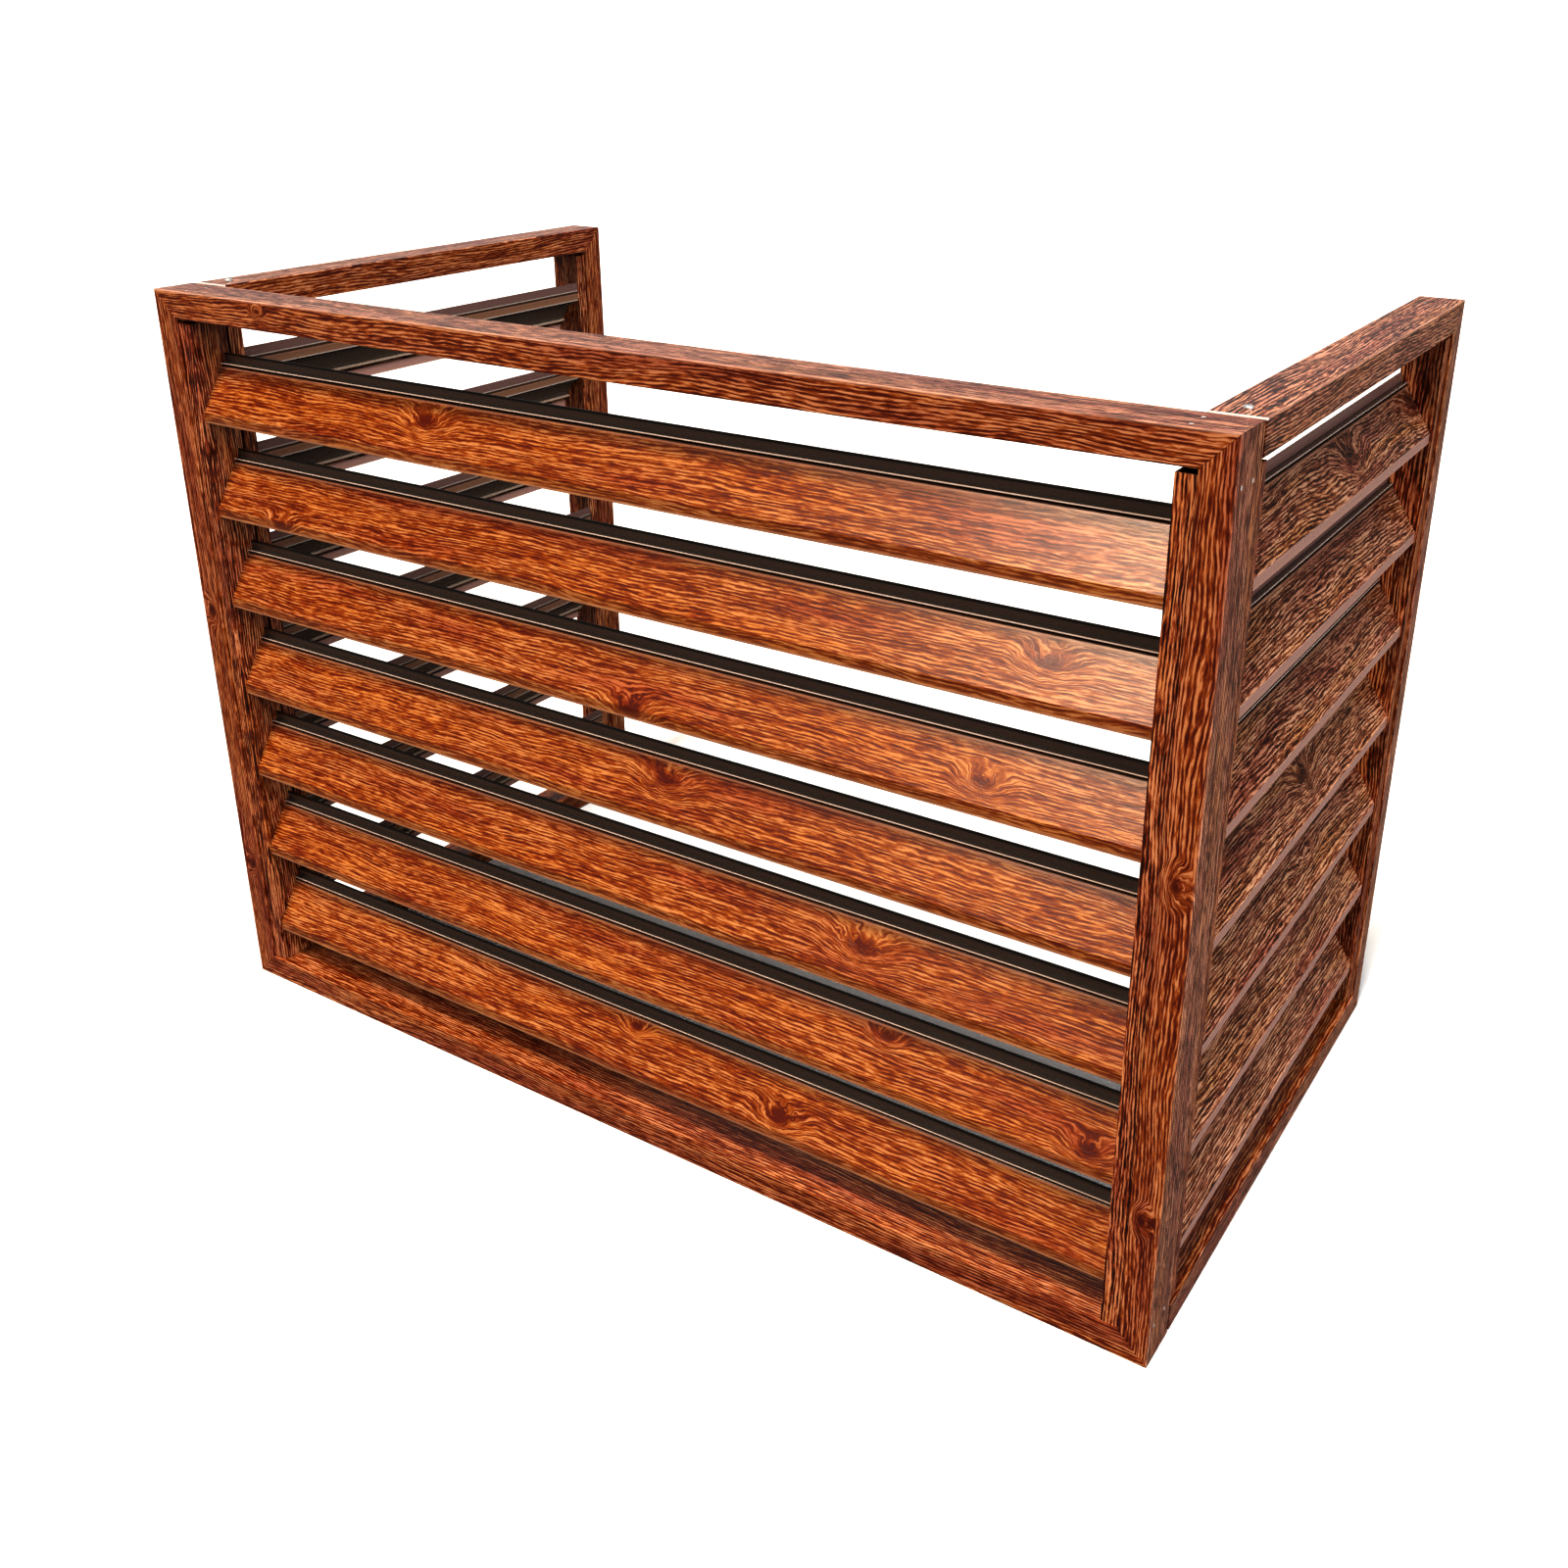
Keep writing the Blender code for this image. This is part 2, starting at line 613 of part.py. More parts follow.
clear_scene()
frame_wood = finish("frame_wood_grain_coating", "7A3A1C", 0.5, 0)
louvre_wood = finish("louvre_wood_grain_coating", "B0622F", 0.5, 0)
strip_wood = finish("strip_wood_grain_coating", "743618", 0.5, 0)
cast_aluminium = finish("bare_aluminium", "B9BBBD", 0.35, 1)
screw_steel = finish("zinc_plated_steel", "C9C7C2", 0.3, 1)
front_panel()
drill_front_frame()
side_panel("right", 1)
side_panel("left", -1)
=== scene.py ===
import math

import bpy
from mathutils import Matrix, Vector

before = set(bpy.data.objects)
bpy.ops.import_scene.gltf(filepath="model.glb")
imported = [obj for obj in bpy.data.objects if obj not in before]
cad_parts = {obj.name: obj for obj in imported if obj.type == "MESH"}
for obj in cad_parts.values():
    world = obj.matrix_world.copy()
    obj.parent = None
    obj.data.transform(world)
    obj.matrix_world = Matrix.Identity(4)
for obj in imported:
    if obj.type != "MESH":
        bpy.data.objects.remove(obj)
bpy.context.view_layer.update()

scene = bpy.context.scene
print("frame loaded with", len(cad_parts), "pieces")


def linearColour(code):
    channels = [int(code[at:at + 2], 16) / 255 for at in (0, 2, 4)]
    return [c / 12.92 if c <= 0.04045 else ((c + 0.055) / 1.055) ** 2.4 for c in channels] + [1]


# Inputs are values or links, by the socket's name or place: a colour Mix has its share at 0 and
# its two colours at 6 and 7. Stops are a ramp's places and colours.
def addNode(tree, kind, inputs=None, stops=(), **settings):
    item = tree.nodes.new(kind)
    for name, value in settings.items():
        setattr(item, name, value)
    for socket, value in (inputs or {}).items():
        if isinstance(value, bpy.types.NodeSocket):
            tree.links.new(value, item.inputs[socket])
        else:
            item.inputs[socket].default_value = value
    if stops:
        marks = item.color_ramp.elements
        for mark, (at, code) in zip(marks, (stops[0], stops[-1])):
            mark.position = at
            mark.color = linearColour(code)
        for at, code in stops[1:-1]:
            marks.new(at).color = linearColour(code)
    return item


def newFinish(name, constants):
    material = bpy.data.materials.new(name)
    material.use_nodes = True
    shader = material.node_tree.nodes["Principled BSDF"]
    for socket, value in constants.items():
        shader.inputs[socket].default_value = value
    return material, material.node_tree, shader


# Each pattern has its length along the grain, its width across it, and how fine its noise is.
grain = {
    # A real pore is about 0.3 mm wide, too fine to show here, so it is drawn five times as coarse.
    "pore": {"length": 0.0155, "width": 0.0016, "detail": 2.5, "roughness": 0.62},
    "line": {"length": 0.080, "width": 0.0055, "detail": 2, "roughness": 0.55},    # broader dark lines
    "drift": {"length": 0.26, "width": 0.024, "detail": 1, "roughness": 0.5},      # orange to red-brown
    "wave": {"length": 0.19, "width": 0.055, "detail": 1, "roughness": 0.4},       # how the lines wander
    "ripple": {"length": 0.024, "width": 0.009, "detail": 1, "roughness": 0.5},    # and shake
    "curl": {"length": 0.00975, "width": 0.0075, "detail": 1, "roughness": 0.5},   # and curl round a knot
    "waveReach": 0.020,        # how far each of the last three moves the lines
    "rippleReach": 0.0026,
    "curlReach": 0.016,
    "ringWidth": 0.0034,       # from one early-wood line to the next
    "depth": 0.06,             # how far away, along the piece's deep axis, the grain is another
    "lineShare": 0.45,         # weight of the dark lines against the pores
    "paleRange": (0.525, 0.915),   # where the mix is all pore and where it is all light wood
}

knots = {
    "reach": (0.046, 0.027),   # how far a full knot pushes the lines, along and across
    "push": 0.013,             # how far it pushes them at its heart
    "steepness": 1.6,
    "coreRange": (0.62, 1),    # where the dark core begins and where it is darkest, 1 being the heart
    # x along the blade, y and z on its sloping face, and the size against a full knot
    "front": [(-0.232, -0.321, 0.767, 1.0), (-0.457, -0.342, 0.625, 0.8), (0.462, -0.322, 0.657, 0.9),
              (0.411, -0.329, 0.537, 0.8), (0.029, -0.341, 0.518, 1.1), (0.057, -0.320, 0.442, 1.1),
              (0.288, -0.322, 0.329, 1.2), (0.313, -0.315, 0.232, 0.6), (-0.003, -0.315, 0.123, 0.6),
              (0.533, -0.333, 0.204, 0.8), (0.196, -0.332, 0.097, 1.0)],
    "side": [(0.584, 0.283, 0.771, 1.2), (0.584, 0.053, 0.764, 1.3), (0.584, 0.036, 0.442, 1.1)],
    "topRail": [(-0.442, -0.345, 0.860, 0.35)],
    "stile": [(0.594, -0.345, 0.500, 0.6), (0.592, -0.345, 0.163, 0.5)],
    # Stray knots lie scattered, at most one in each cell of this length and width.
    "cell": (0.36, 0.10),
    "scatter": 0.9,
    "straySize": 0.22,         # as a share of the cell
}

slope = Vector((0.538, 0.843))  # the blade's face: how far in and how far up for each unit along it

# Along is the grain's axis, wrap unrolls the piece's faces (from |x|, y, z), and deep parts left from right.
# Arris and reach find the tube's outer corner, painted paler as edge wear and as a painted highlight, and the last
# number is how much.
runs = {
    "frontRail": {"along": 0, "wrap": (0, 1, 1), "deep": (0, 0.3, 0),
                  "arris": (0, -1, 1), "reach": 1.215, "wornAndLit": 0.9},
    "frontStile": {"along": 2, "wrap": (1, 1, 0), "deep": (1, 0, 0),
                   "arris": (1, -1, 0), "reach": 0.955, "wornAndLit": 0.25},
    "sideRail": {"along": 1, "wrap": (-1, 0, 1), "deep": (1, 0, 0),
                 "arris": (1, 0, 1), "reach": 1.480, "wornAndLit": 1.0},
    "rearStile": {"along": 2, "wrap": (-1, 1, 0), "deep": (1, 0, 0),
                  "arris": (1, 1, 0), "reach": 0.955, "wornAndLit": 0.6},
    "frontBlade": {"along": 0, "wrap": (0, slope.x, slope.y), "deep": (0, 0.3, 0)},
    "sideBlade": {"along": 1, "wrap": (-slope.x, 0, slope.y), "deep": (1, 0, 0)},
}

# The blades stand one pitch apart. Each band has the heights over the blade's foot where it starts
# and where it is fullest, its colour and its share there. It keeps that share beyond.
blade = {
    "foot": 0.0731,
    "pitch": 0.108833,
    # Painted shade and painted highlights up the front of each blade, with some edge wear at the lip
    "bands": [
        (0.0125, 0.0020, "8C5A34", 0.3),       # painted light: the lip is browner and paler towards its foot
        (0.0036, 0.0024, "C89878", 0.4),       # painted highlight along its lower edge, with some edge wear
        (0.0560, 0.0572, "E0A484", 0.5),       # painted highlight along the face's top edge
        (0.0580, 0.0585, "180602", 0.88),      # slot, painted near-black as shade
        (0.0611, 0.0614, "FFE8DC", 1.0),       # painted highlight on the ledge's edge
        (0.06255, 0.06265, "140806", 0.92),    # painted shade on the ledge and the foot of the flange
        (0.0645, 0.0650, "5E463A", 0.6),       # flange, painted darker as shade
        (0.0700, 0.0708, "0C0604", 0.9),       # painted shade along the flange's top
    ],
    "sideBands": [
        (0.0125, 0.0112, "C89C90", 0.75),      # lip, paled by the light from the side
        (0.028, 0.0588, "26120A", 0.55),       # painted shade: the face darkens towards its top, under the blade above
        (0.0628, 0.0629, "80605A", 0.8),       # painted shade on the flange, browner and lighter than on the front one
    ],
    # The side blades' backs, less far out than the face's plane, are seen from inside the screen. Their bands are
    # mostly painted shade, with painted highlights on the screw port and the flange's rear drop.
    "backPlane": ((0.843, 0, 0.538), 0.5149),
    "backBands": [
        (0, 0.0001, "160A06", 0.80),           # inside of the profile, painted dark as shade
        (0.0175, 0.0185, "D0B8A4", 0.7),       # painted highlight on the top of the lower screw port
        (0.0202, 0.0206, "100604", 0.85),      # painted shade again between the ports
        (0.0480, 0.0482, "F4E0D4", 0.8),       # painted highlight on the lower edge of the flange's rear drop
        (0.0496, 0.0500, "A0622E", 0.8),       # the drop itself
    ],
}

# The tubes' outer corners are painted paler, as edge wear from handling and as a painted highlight where the
# corner catches the light: how wide that is, how wide where it is fullest.
cornerWornAndLit = {"width": 0.0026, "fullWidth": 0.0006, "colour": "E0B098"}

# The side rails' square front ends are sawn after coating, so a bright rim shows at the seam.
cutEnd = {"bareTo": -0.2876, "fade": 0.0004, "above": 0.8685, "colour": "F0E8E2"}

# Streaks run from pore to light wood, wash drifts over them, rings and wobble set how lined it looks,
# and core how dark a knot is.
frameWash = [(0.34, "DCC0C0"), (0.50, "FFFFFF"), (0.68, "F4E8C8")]
tones = {
    "blade": {
        "streaks": [(0.04, "541400"), (0.34, "742E02"), (0.60, "904A0E"), (0.94, "B88050")],
        "wash": [(0.31, "E8C4BE"), (0.46, "FFFFFF"), (0.68, "FFF2CC")],
        "rings": 0.11, "wobble": 13, "core": 0.85},
    "sideBlade": {
        "streaks": [(0.12, "32180E"), (0.38, "743E28"), (0.62, "A06446"), (0.88, "DAAA8A")],
        "wash": frameWash, "rings": 0.12, "wobble": 13, "core": 0.5},
    "tube": {
        "streaks": [(0.04, "4C1001"), (0.36, "702C06"), (0.62, "984C18"), (0.94, "C88A60")],
        "wash": frameWash, "rings": 0.13, "wobble": 11, "core": 0.85},
    "strip": {
        "streaks": [(0.12, "240400"), (0.38, "642206"), (0.62, "94461E"), (0.90, "D49468")],
        "wash": frameWash, "rings": 0.12, "wobble": 7, "core": 0.85},
}

# Painted sheen: the tubes' upper faces, and in part their outward faces, are painted in paler streaks that keep
# the dark lines, standing in for the reflection of the bright surroundings.
paintedSheen = {"above": 0.8692, "beyond": 0.6092, "outward": 0.85,
            "streaks": [(0.10, "220A04"), (0.38, "642E1C"), (0.60, "8E5036"), (0.92, "D89E80")]}

# Powder coat: the pores are a little duller than the light wood and lie a little lower.
coat = {"ior": 1.5, "specular": 0.42, "poreRange": (0.3, 0.7), "shine": (0.31, 0.23),
        "bump": 0.5, "bumpDepth": 0.0002}


# The piece's surface as a flat sheet of wood: places along the grain and across it, over all its faces.
def unroll(tree, run):
    place = addNode(tree, "ShaderNodeTexCoord").outputs["Object"]
    plain = addNode(tree, "ShaderNodeSeparateXYZ", {"Vector": place}).outputs
    outward = addNode(tree, "ShaderNodeMath", {0: plain["X"]}, operation="ABSOLUTE").outputs[0]
    unsigned = addNode(tree, "ShaderNodeCombineXYZ",
                       {"X": outward, "Y": plain["Y"], "Z": plain["Z"]}).outputs[0]
    across = addNode(tree, "ShaderNodeVectorMath", {0: unsigned, 1: run["wrap"]},
                     operation="DOT_PRODUCT").outputs["Value"]
    deep = addNode(tree, "ShaderNodeVectorMath", {0: place, 1: run["deep"]},
                   operation="DOT_PRODUCT").outputs["Value"]
    return {"tree": tree, "run": run, "unsigned": unsigned, "outward": outward, "back": plain["Y"],
            "up": plain["Z"], "along": plain[run["along"]], "across": across, "deep": deep}


def stretched(sheet, across, length, width):
    flat = addNode(sheet["tree"], "ShaderNodeCombineXYZ",
                   {"X": sheet["along"], "Y": across, "Z": sheet["deep"]})
    return addNode(sheet["tree"], "ShaderNodeVectorMath",
                   {0: flat.outputs[0], 1: (1 / length, 1 / width, 1 / grain["depth"])},
                   operation="MULTIPLY").outputs["Vector"]


def grainPattern(sheet, across, name):
    size = grain[name]
    return addNode(sheet["tree"], "ShaderNodeTexNoise",
                   {"Vector": stretched(sheet, across, size["length"], size["width"]), "Scale": 1,
                    "Detail": size["detail"], "Roughness": size["roughness"]}).outputs["Fac"]


# 1 at the heart of a knot, falling to 0 at its edge.
def knotHearts(sheet, knotList, strayKnots):
    tree, run = sheet["tree"], sheet["run"]
    reachAlong, reachAcross = knots["reach"]
    hearts = []
    if knotList:
        flat = addNode(tree, "ShaderNodeCombineXYZ", {"X": sheet["along"], "Y": sheet["across"]})
        squeezed = addNode(tree, "ShaderNodeVectorMath",
                           {0: flat.outputs[0], 1: (1 / reachAlong, 1 / reachAcross, 1)},
                           operation="MULTIPLY").outputs["Vector"]
    for x, y, z, size in knotList:
        across = Vector(run["wrap"]).dot(Vector((abs(x), y, z)))
        middle = (Vector((x, y, z))[run["along"]] / reachAlong, across / reachAcross, 0)
        away = addNode(tree, "ShaderNodeVectorMath", {0: squeezed, 1: middle},
                       operation="DISTANCE").outputs["Value"]
        hearts.append(addNode(tree, "ShaderNodeMapRange",
                              {"Value": away, "From Min": 0, "From Max": size,
                               "To Min": 1, "To Max": 0}).outputs["Result"])
    if strayKnots:
        cell = addNode(tree, "ShaderNodeTexVoronoi",
                       {"Vector": stretched(sheet, sheet["across"], *knots["cell"]), "Scale": 1,
                        "Randomness": knots["scatter"]})
        chance = addNode(tree, "ShaderNodeSeparateColor", {"Color": cell.outputs["Color"]}).outputs[0]
        kept = addNode(tree, "ShaderNodeMath", {0: chance, 1: strayKnots}, operation="LESS_THAN").outputs[0]
        near = addNode(tree, "ShaderNodeMapRange",
                       {"Value": cell.outputs["Distance"], "From Min": 0, "From Max": knots["straySize"],
                        "To Min": 1, "To Max": 0}).outputs["Result"]
        hearts.append(addNode(tree, "ShaderNodeMath", {0: near, 1: kept}, operation="MULTIPLY").outputs[0])
    if not hearts:
        return None
    heart = hearts[0]
    for near in hearts[1:]:
        heart = addNode(tree, "ShaderNodeMath", {0: heart, 1: near}, operation="MAXIMUM").outputs[0]
    return heart


# Places across the grain, moved by waves, knots and ripples, so that the lines on them bend.
def bentAcross(sheet, heart):
    tree, across = sheet["tree"], sheet["across"]
    wave = grainPattern(sheet, across, "wave")
    bent = addNode(tree, "ShaderNodeMath", {0: wave, 1: grain["waveReach"], 2: across},
                   operation="MULTIPLY_ADD").outputs[0]
    if heart:
        hill = addNode(tree, "ShaderNodeMath", {0: heart, 1: knots["steepness"]}, operation="POWER").outputs[0]
        bent = addNode(tree, "ShaderNodeMath", {0: hill, 1: knots["push"], 2: bent},
                       operation="MULTIPLY_ADD").outputs[0]
        curl = grainPattern(sheet, across, "curl")
        stir = addNode(tree, "ShaderNodeMath", {0: heart, 1: grain["curlReach"]},
                       operation="MULTIPLY").outputs[0]
        bent = addNode(tree, "ShaderNodeMath", {0: curl, 1: stir, 2: bent},
                       operation="MULTIPLY_ADD").outputs[0]
    ripple = grainPattern(sheet, across, "ripple")
    return addNode(tree, "ShaderNodeMath", {0: ripple, 1: grain["rippleReach"], 2: bent},
                   operation="MULTIPLY_ADD").outputs[0]


# 0 in a pore or a knot's core and 1 in light wood.
def paleness(sheet, bent, pores, lines, heart, look):
    tree = sheet["tree"]
    turns = addNode(tree, "ShaderNodeMath", {0: bent, 1: 2 * math.pi / grain["ringWidth"]},
                    operation="MULTIPLY").outputs[0]
    turns = addNode(tree, "ShaderNodeMath", {0: lines, 1: look["wobble"], 2: turns},
                    operation="MULTIPLY_ADD").outputs[0]
    rings = addNode(tree, "ShaderNodeMath", {0: turns}, operation="SINE").outputs[0]
    if heart:
        away = addNode(tree, "ShaderNodeMath", {0: 1.0, 1: heart}, operation="SUBTRACT").outputs[0]
        rings = addNode(tree, "ShaderNodeMath", {0: rings, 1: away}, operation="MULTIPLY").outputs[0]
    mixed = addNode(tree, "ShaderNodeMath", {0: lines, 1: grain["lineShare"], 2: pores},
                    operation="MULTIPLY_ADD").outputs[0]
    mixed = addNode(tree, "ShaderNodeMath", {0: rings, 1: look["rings"], 2: mixed},
                    operation="MULTIPLY_ADD").outputs[0]
    darkest, palest = grain["paleRange"]
    pale = addNode(tree, "ShaderNodeMapRange",
                   {"Value": mixed, "From Min": darkest, "From Max": palest,
                    "To Min": 0, "To Max": 1}).outputs["Result"]
    if heart:
        edge, middle = knots["coreRange"]
        core = addNode(tree, "ShaderNodeMapRange",
                       {"Value": heart, "From Min": edge, "From Max": middle,
                        "To Min": 0, "To Max": look["core"]}).outputs["Result"]
        pale = addNode(tree, "ShaderNodeMath", {0: pale, 1: core},
                       operation="SUBTRACT", use_clamp=True).outputs[0]
    return pale


# Lays bands of colour up a blade, where within says so if it is given.
def layBands(tree, colour, rise, bands, within=None):
    for start, end, code, amount in bands:
        share = addNode(tree, "ShaderNodeMapRange",
                        {"Value": rise, "From Min": start, "From Max": end,
                         "To Min": 0, "To Max": amount}).outputs["Result"]
        if within:
            share = addNode(tree, "ShaderNodeMath", {0: share, 1: within}, operation="MULTIPLY").outputs[0]
        colour = addNode(tree, "ShaderNodeMix", {0: share, 6: colour, 7: linearColour(code)},
                         data_type="RGBA").outputs[2]
    return colour


# Lays the bands up a blade: painted shade and painted highlights, with some edge wear at the lip.
def bladeColour(sheet, colour):
    tree = sheet["tree"]
    rise = addNode(tree, "ShaderNodeMath", {0: sheet["up"], 1: blade["foot"]}, operation="SUBTRACT").outputs[0]
    rise = addNode(tree, "ShaderNodeMath", {0: rise, 1: blade["pitch"]}, operation="MODULO").outputs[0]
    if sheet["run"] is runs["frontBlade"]:
        return layBands(tree, colour, rise, blade["bands"])
    towardsFace, backFrom = blade["backPlane"]
    level = addNode(tree, "ShaderNodeCombineXYZ", {"X": sheet["outward"], "Z": rise}).outputs[0]
    out = addNode(tree, "ShaderNodeVectorMath", {0: level, 1: towardsFace},
                  operation="DOT_PRODUCT").outputs["Value"]
    behind = addNode(tree, "ShaderNodeMath", {0: out, 1: backFrom}, operation="LESS_THAN").outputs[0]
    colour = layBands(tree, colour, rise, blade["backBands"], behind)
    return layBands(tree, colour, rise, blade["bands"] + blade["sideBands"])


# Pales the tubes' outer corners: edge wear and a painted highlight.
def wornAndLitCornerColour(sheet, colour, lines):
    tree, run = sheet["tree"], sheet["run"]
    corner = addNode(tree, "ShaderNodeVectorMath", {0: sheet["unsigned"], 1: run["arris"]},
                     operation="DOT_PRODUCT").outputs["Value"]
    wornAndLit = addNode(tree, "ShaderNodeMapRange",
                     {"Value": corner, "From Min": run["reach"] - cornerWornAndLit["width"],
                      "From Max": run["reach"] - cornerWornAndLit["fullWidth"],
                      "To Min": 0, "To Max": run["wornAndLit"]}).outputs["Result"]
    wornAndLit = addNode(tree, "ShaderNodeMath", {0: wornAndLit, 1: lines}, operation="MULTIPLY").outputs[0]
    return addNode(tree, "ShaderNodeMix", {0: wornAndLit, 6: colour, 7: linearColour(cornerWornAndLit["colour"])},
                   data_type="RGBA").outputs[2]


def sawnColour(sheet, colour):
    tree = sheet["tree"]
    bare = addNode(tree, "ShaderNodeMapRange",
                   {"Value": sheet["back"], "From Min": cutEnd["bareTo"],
                    "From Max": cutEnd["bareTo"] + cutEnd["fade"],
                    "To Min": 1, "To Max": 0}).outputs["Result"]
    onTop = addNode(tree, "ShaderNodeMath", {0: sheet["up"], 1: cutEnd["above"]},
                    operation="GREATER_THAN").outputs[0]
    bare = addNode(tree, "ShaderNodeMath", {0: bare, 1: onTop}, operation="MULTIPLY").outputs[0]
    return addNode(tree, "ShaderNodeMix", {0: bare, 6: colour, 7: linearColour(cutEnd["colour"])},
                   data_type="RGBA").outputs[2]


# Wood grain print baked into powder coat on aluminium: flat, even body with a soft satin shine,
# fine dark pores and lighter streaks that run along the piece and bend round the knots.
def woodGrainCoat(name, run, tone, knotList=(), strayKnots=0.0):
    material, tree, shader = newFinish(name, {"IOR": coat["ior"], "Specular IOR Level": coat["specular"]})
    look = tones[tone]
    sheet = unroll(tree, run)
    heart = knotHearts(sheet, knotList, strayKnots)
    bent = bentAcross(sheet, heart)
    pores = grainPattern(sheet, bent, "pore")
    lines = grainPattern(sheet, bent, "line")
    drift = grainPattern(sheet, bent, "drift")
    pale = paleness(sheet, bent, pores, lines, heart, look)
    colour = addNode(tree, "ShaderNodeValToRGB", {"Fac": pale}, look["streaks"]).outputs["Color"]
    # painted sheen on the tubes' upper faces and, in part, their outward faces
    if tone == "tube":
        onTop = addNode(tree, "ShaderNodeMath", {0: sheet["up"], 1: paintedSheen["above"]},
                        operation="GREATER_THAN").outputs[0]
        outside = addNode(tree, "ShaderNodeMath", {0: sheet["outward"], 1: paintedSheen["beyond"]},
                          operation="GREATER_THAN").outputs[0]
        sheenShare = addNode(tree, "ShaderNodeMath", {0: outside, 1: paintedSheen["outward"], 2: onTop},
                         operation="MULTIPLY_ADD", use_clamp=True).outputs[0]
        sheenStreaks = addNode(tree, "ShaderNodeValToRGB", {"Fac": pale}, paintedSheen["streaks"]).outputs["Color"]
        colour = addNode(tree, "ShaderNodeMix", {0: sheenShare, 6: colour, 7: sheenStreaks}, data_type="RGBA").outputs[2]
    wash = addNode(tree, "ShaderNodeValToRGB", {"Fac": drift}, look["wash"]).outputs["Color"]
    colour = addNode(tree, "ShaderNodeMix", {0: 1.0, 6: colour, 7: wash},
                     data_type="RGBA", blend_type="MULTIPLY").outputs[2]
    # painted shade and painted highlights in bands up the blades
    if run in (runs["frontBlade"], runs["sideBlade"]):
        colour = bladeColour(sheet, colour)
    # edge wear and painted highlight along the tubes' outer corners
    if "arris" in run:
        colour = wornAndLitCornerColour(sheet, colour, lines)
    if run is runs["sideRail"]:
        colour = sawnColour(sheet, colour)
    tree.links.new(colour, shader.inputs["Base Color"])
    lowest, highest = coat["poreRange"]
    dull, shiny = coat["shine"]
    shine = addNode(tree, "ShaderNodeMapRange",
                    {"Value": pores, "From Min": lowest, "From Max": highest, "To Min": dull, "To Max": shiny})
    tree.links.new(shine.outputs["Result"], shader.inputs["Roughness"])
    bump = addNode(tree, "ShaderNodeBump",
                   {"Height": pores, "Strength": coat["bump"], "Distance": coat["bumpDepth"]})
    tree.links.new(bump.outputs["Normal"], shader.inputs["Normal"])
    return material


# Bare aluminium of the cleats, pins and connectors. What shows of it is filed and oxidised ends,
# dull and softly mottled, so it scatters far more light than clean metal would.
aluminium = {"roughness": 0.5, "metallic": 0.1, "mottleScale": 900, "colours": [(0, "C9CACC"), (1, "F0F0F0")]}


def bareAluminium(name):
    material, tree, shader = newFinish(name, {"Roughness": aluminium["roughness"],
                                              "Metallic": aluminium["metallic"]})
    place = addNode(tree, "ShaderNodeTexCoord").outputs["Object"]
    mottle = addNode(tree, "ShaderNodeTexNoise",
                     {"Vector": place, "Scale": aluminium["mottleScale"], "Detail": 2}).outputs["Fac"]
    ramp = addNode(tree, "ShaderNodeValToRGB", {"Fac": mottle}, aluminium["colours"])
    tree.links.new(ramp.outputs["Color"], shader.inputs["Base Color"])
    return material


# Zinc plated steel of the screws: brighter than the aluminium, with soft blotches in its shine.
zinc = {"metallic": 0.6, "colour": "CDCFCE", "blotchScale": 600, "shine": (0.2, 0.4)}


def zincPlatedSteel(name):
    material, tree, shader = newFinish(name, {"Metallic": zinc["metallic"],
                                              "Base Color": linearColour(zinc["colour"])})
    place = addNode(tree, "ShaderNodeTexCoord").outputs["Object"]
    blotches = addNode(tree, "ShaderNodeTexNoise",
                       {"Vector": place, "Scale": zinc["blotchScale"], "Detail": 3}).outputs["Fac"]
    shiny, dull = zinc["shine"]
    shine = addNode(tree, "ShaderNodeMapRange", {"Value": blotches, "To Min": shiny, "To Max": dull})
    tree.links.new(shine.outputs["Result"], shader.inputs["Roughness"])
    return material


# The last number is the share of cells that hold a stray knot.
finishes = {
    "frontRail": woodGrainCoat("wood_grain_coat_front_rails", runs["frontRail"], "tube", knots["topRail"], 0.2),
    "frontStile": woodGrainCoat("wood_grain_coat_front_stiles", runs["frontStile"], "tube", knots["stile"]),
    "sideRail": woodGrainCoat("wood_grain_coat_side_rails", runs["sideRail"], "tube", (), 0.25),
    "rearStile": woodGrainCoat("wood_grain_coat_rear_stiles", runs["rearStile"], "tube", (), 0.2),
    "strip": woodGrainCoat("wood_grain_coat_end_strips", runs["frontStile"], "strip"),
    "frontBlade": woodGrainCoat("wood_grain_coat_front_blades", runs["frontBlade"], "blade", knots["front"]),
    "sideBlade": woodGrainCoat("wood_grain_coat_side_blades", runs["sideBlade"], "sideBlade",
                               knots["side"], 0.3),
    "aluminium": bareAluminium("bare_extruded_aluminium"),
    "steel": zincPlatedSteel("zinc_plated_steel"),
}


def finishOf(name):
    if "screw" in name:
        return "steel"
    if "cleat" in name or "connector" in name:
        return "aluminium"
    if "strip" in name:
        return "strip"
    if "louvre" in name:
        return "frontBlade" if name.startswith("front") else "sideBlade"
    if "rear_stile" in name:
        return "rearStile"
    if "stile" in name:
        return "frontStile"
    return "frontRail" if name.startswith("front") else "sideRail"


for name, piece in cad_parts.items():
    for slot in piece.material_slots:
        slot.material = finishes[finishOf(name)]
print("finishes on all pieces")

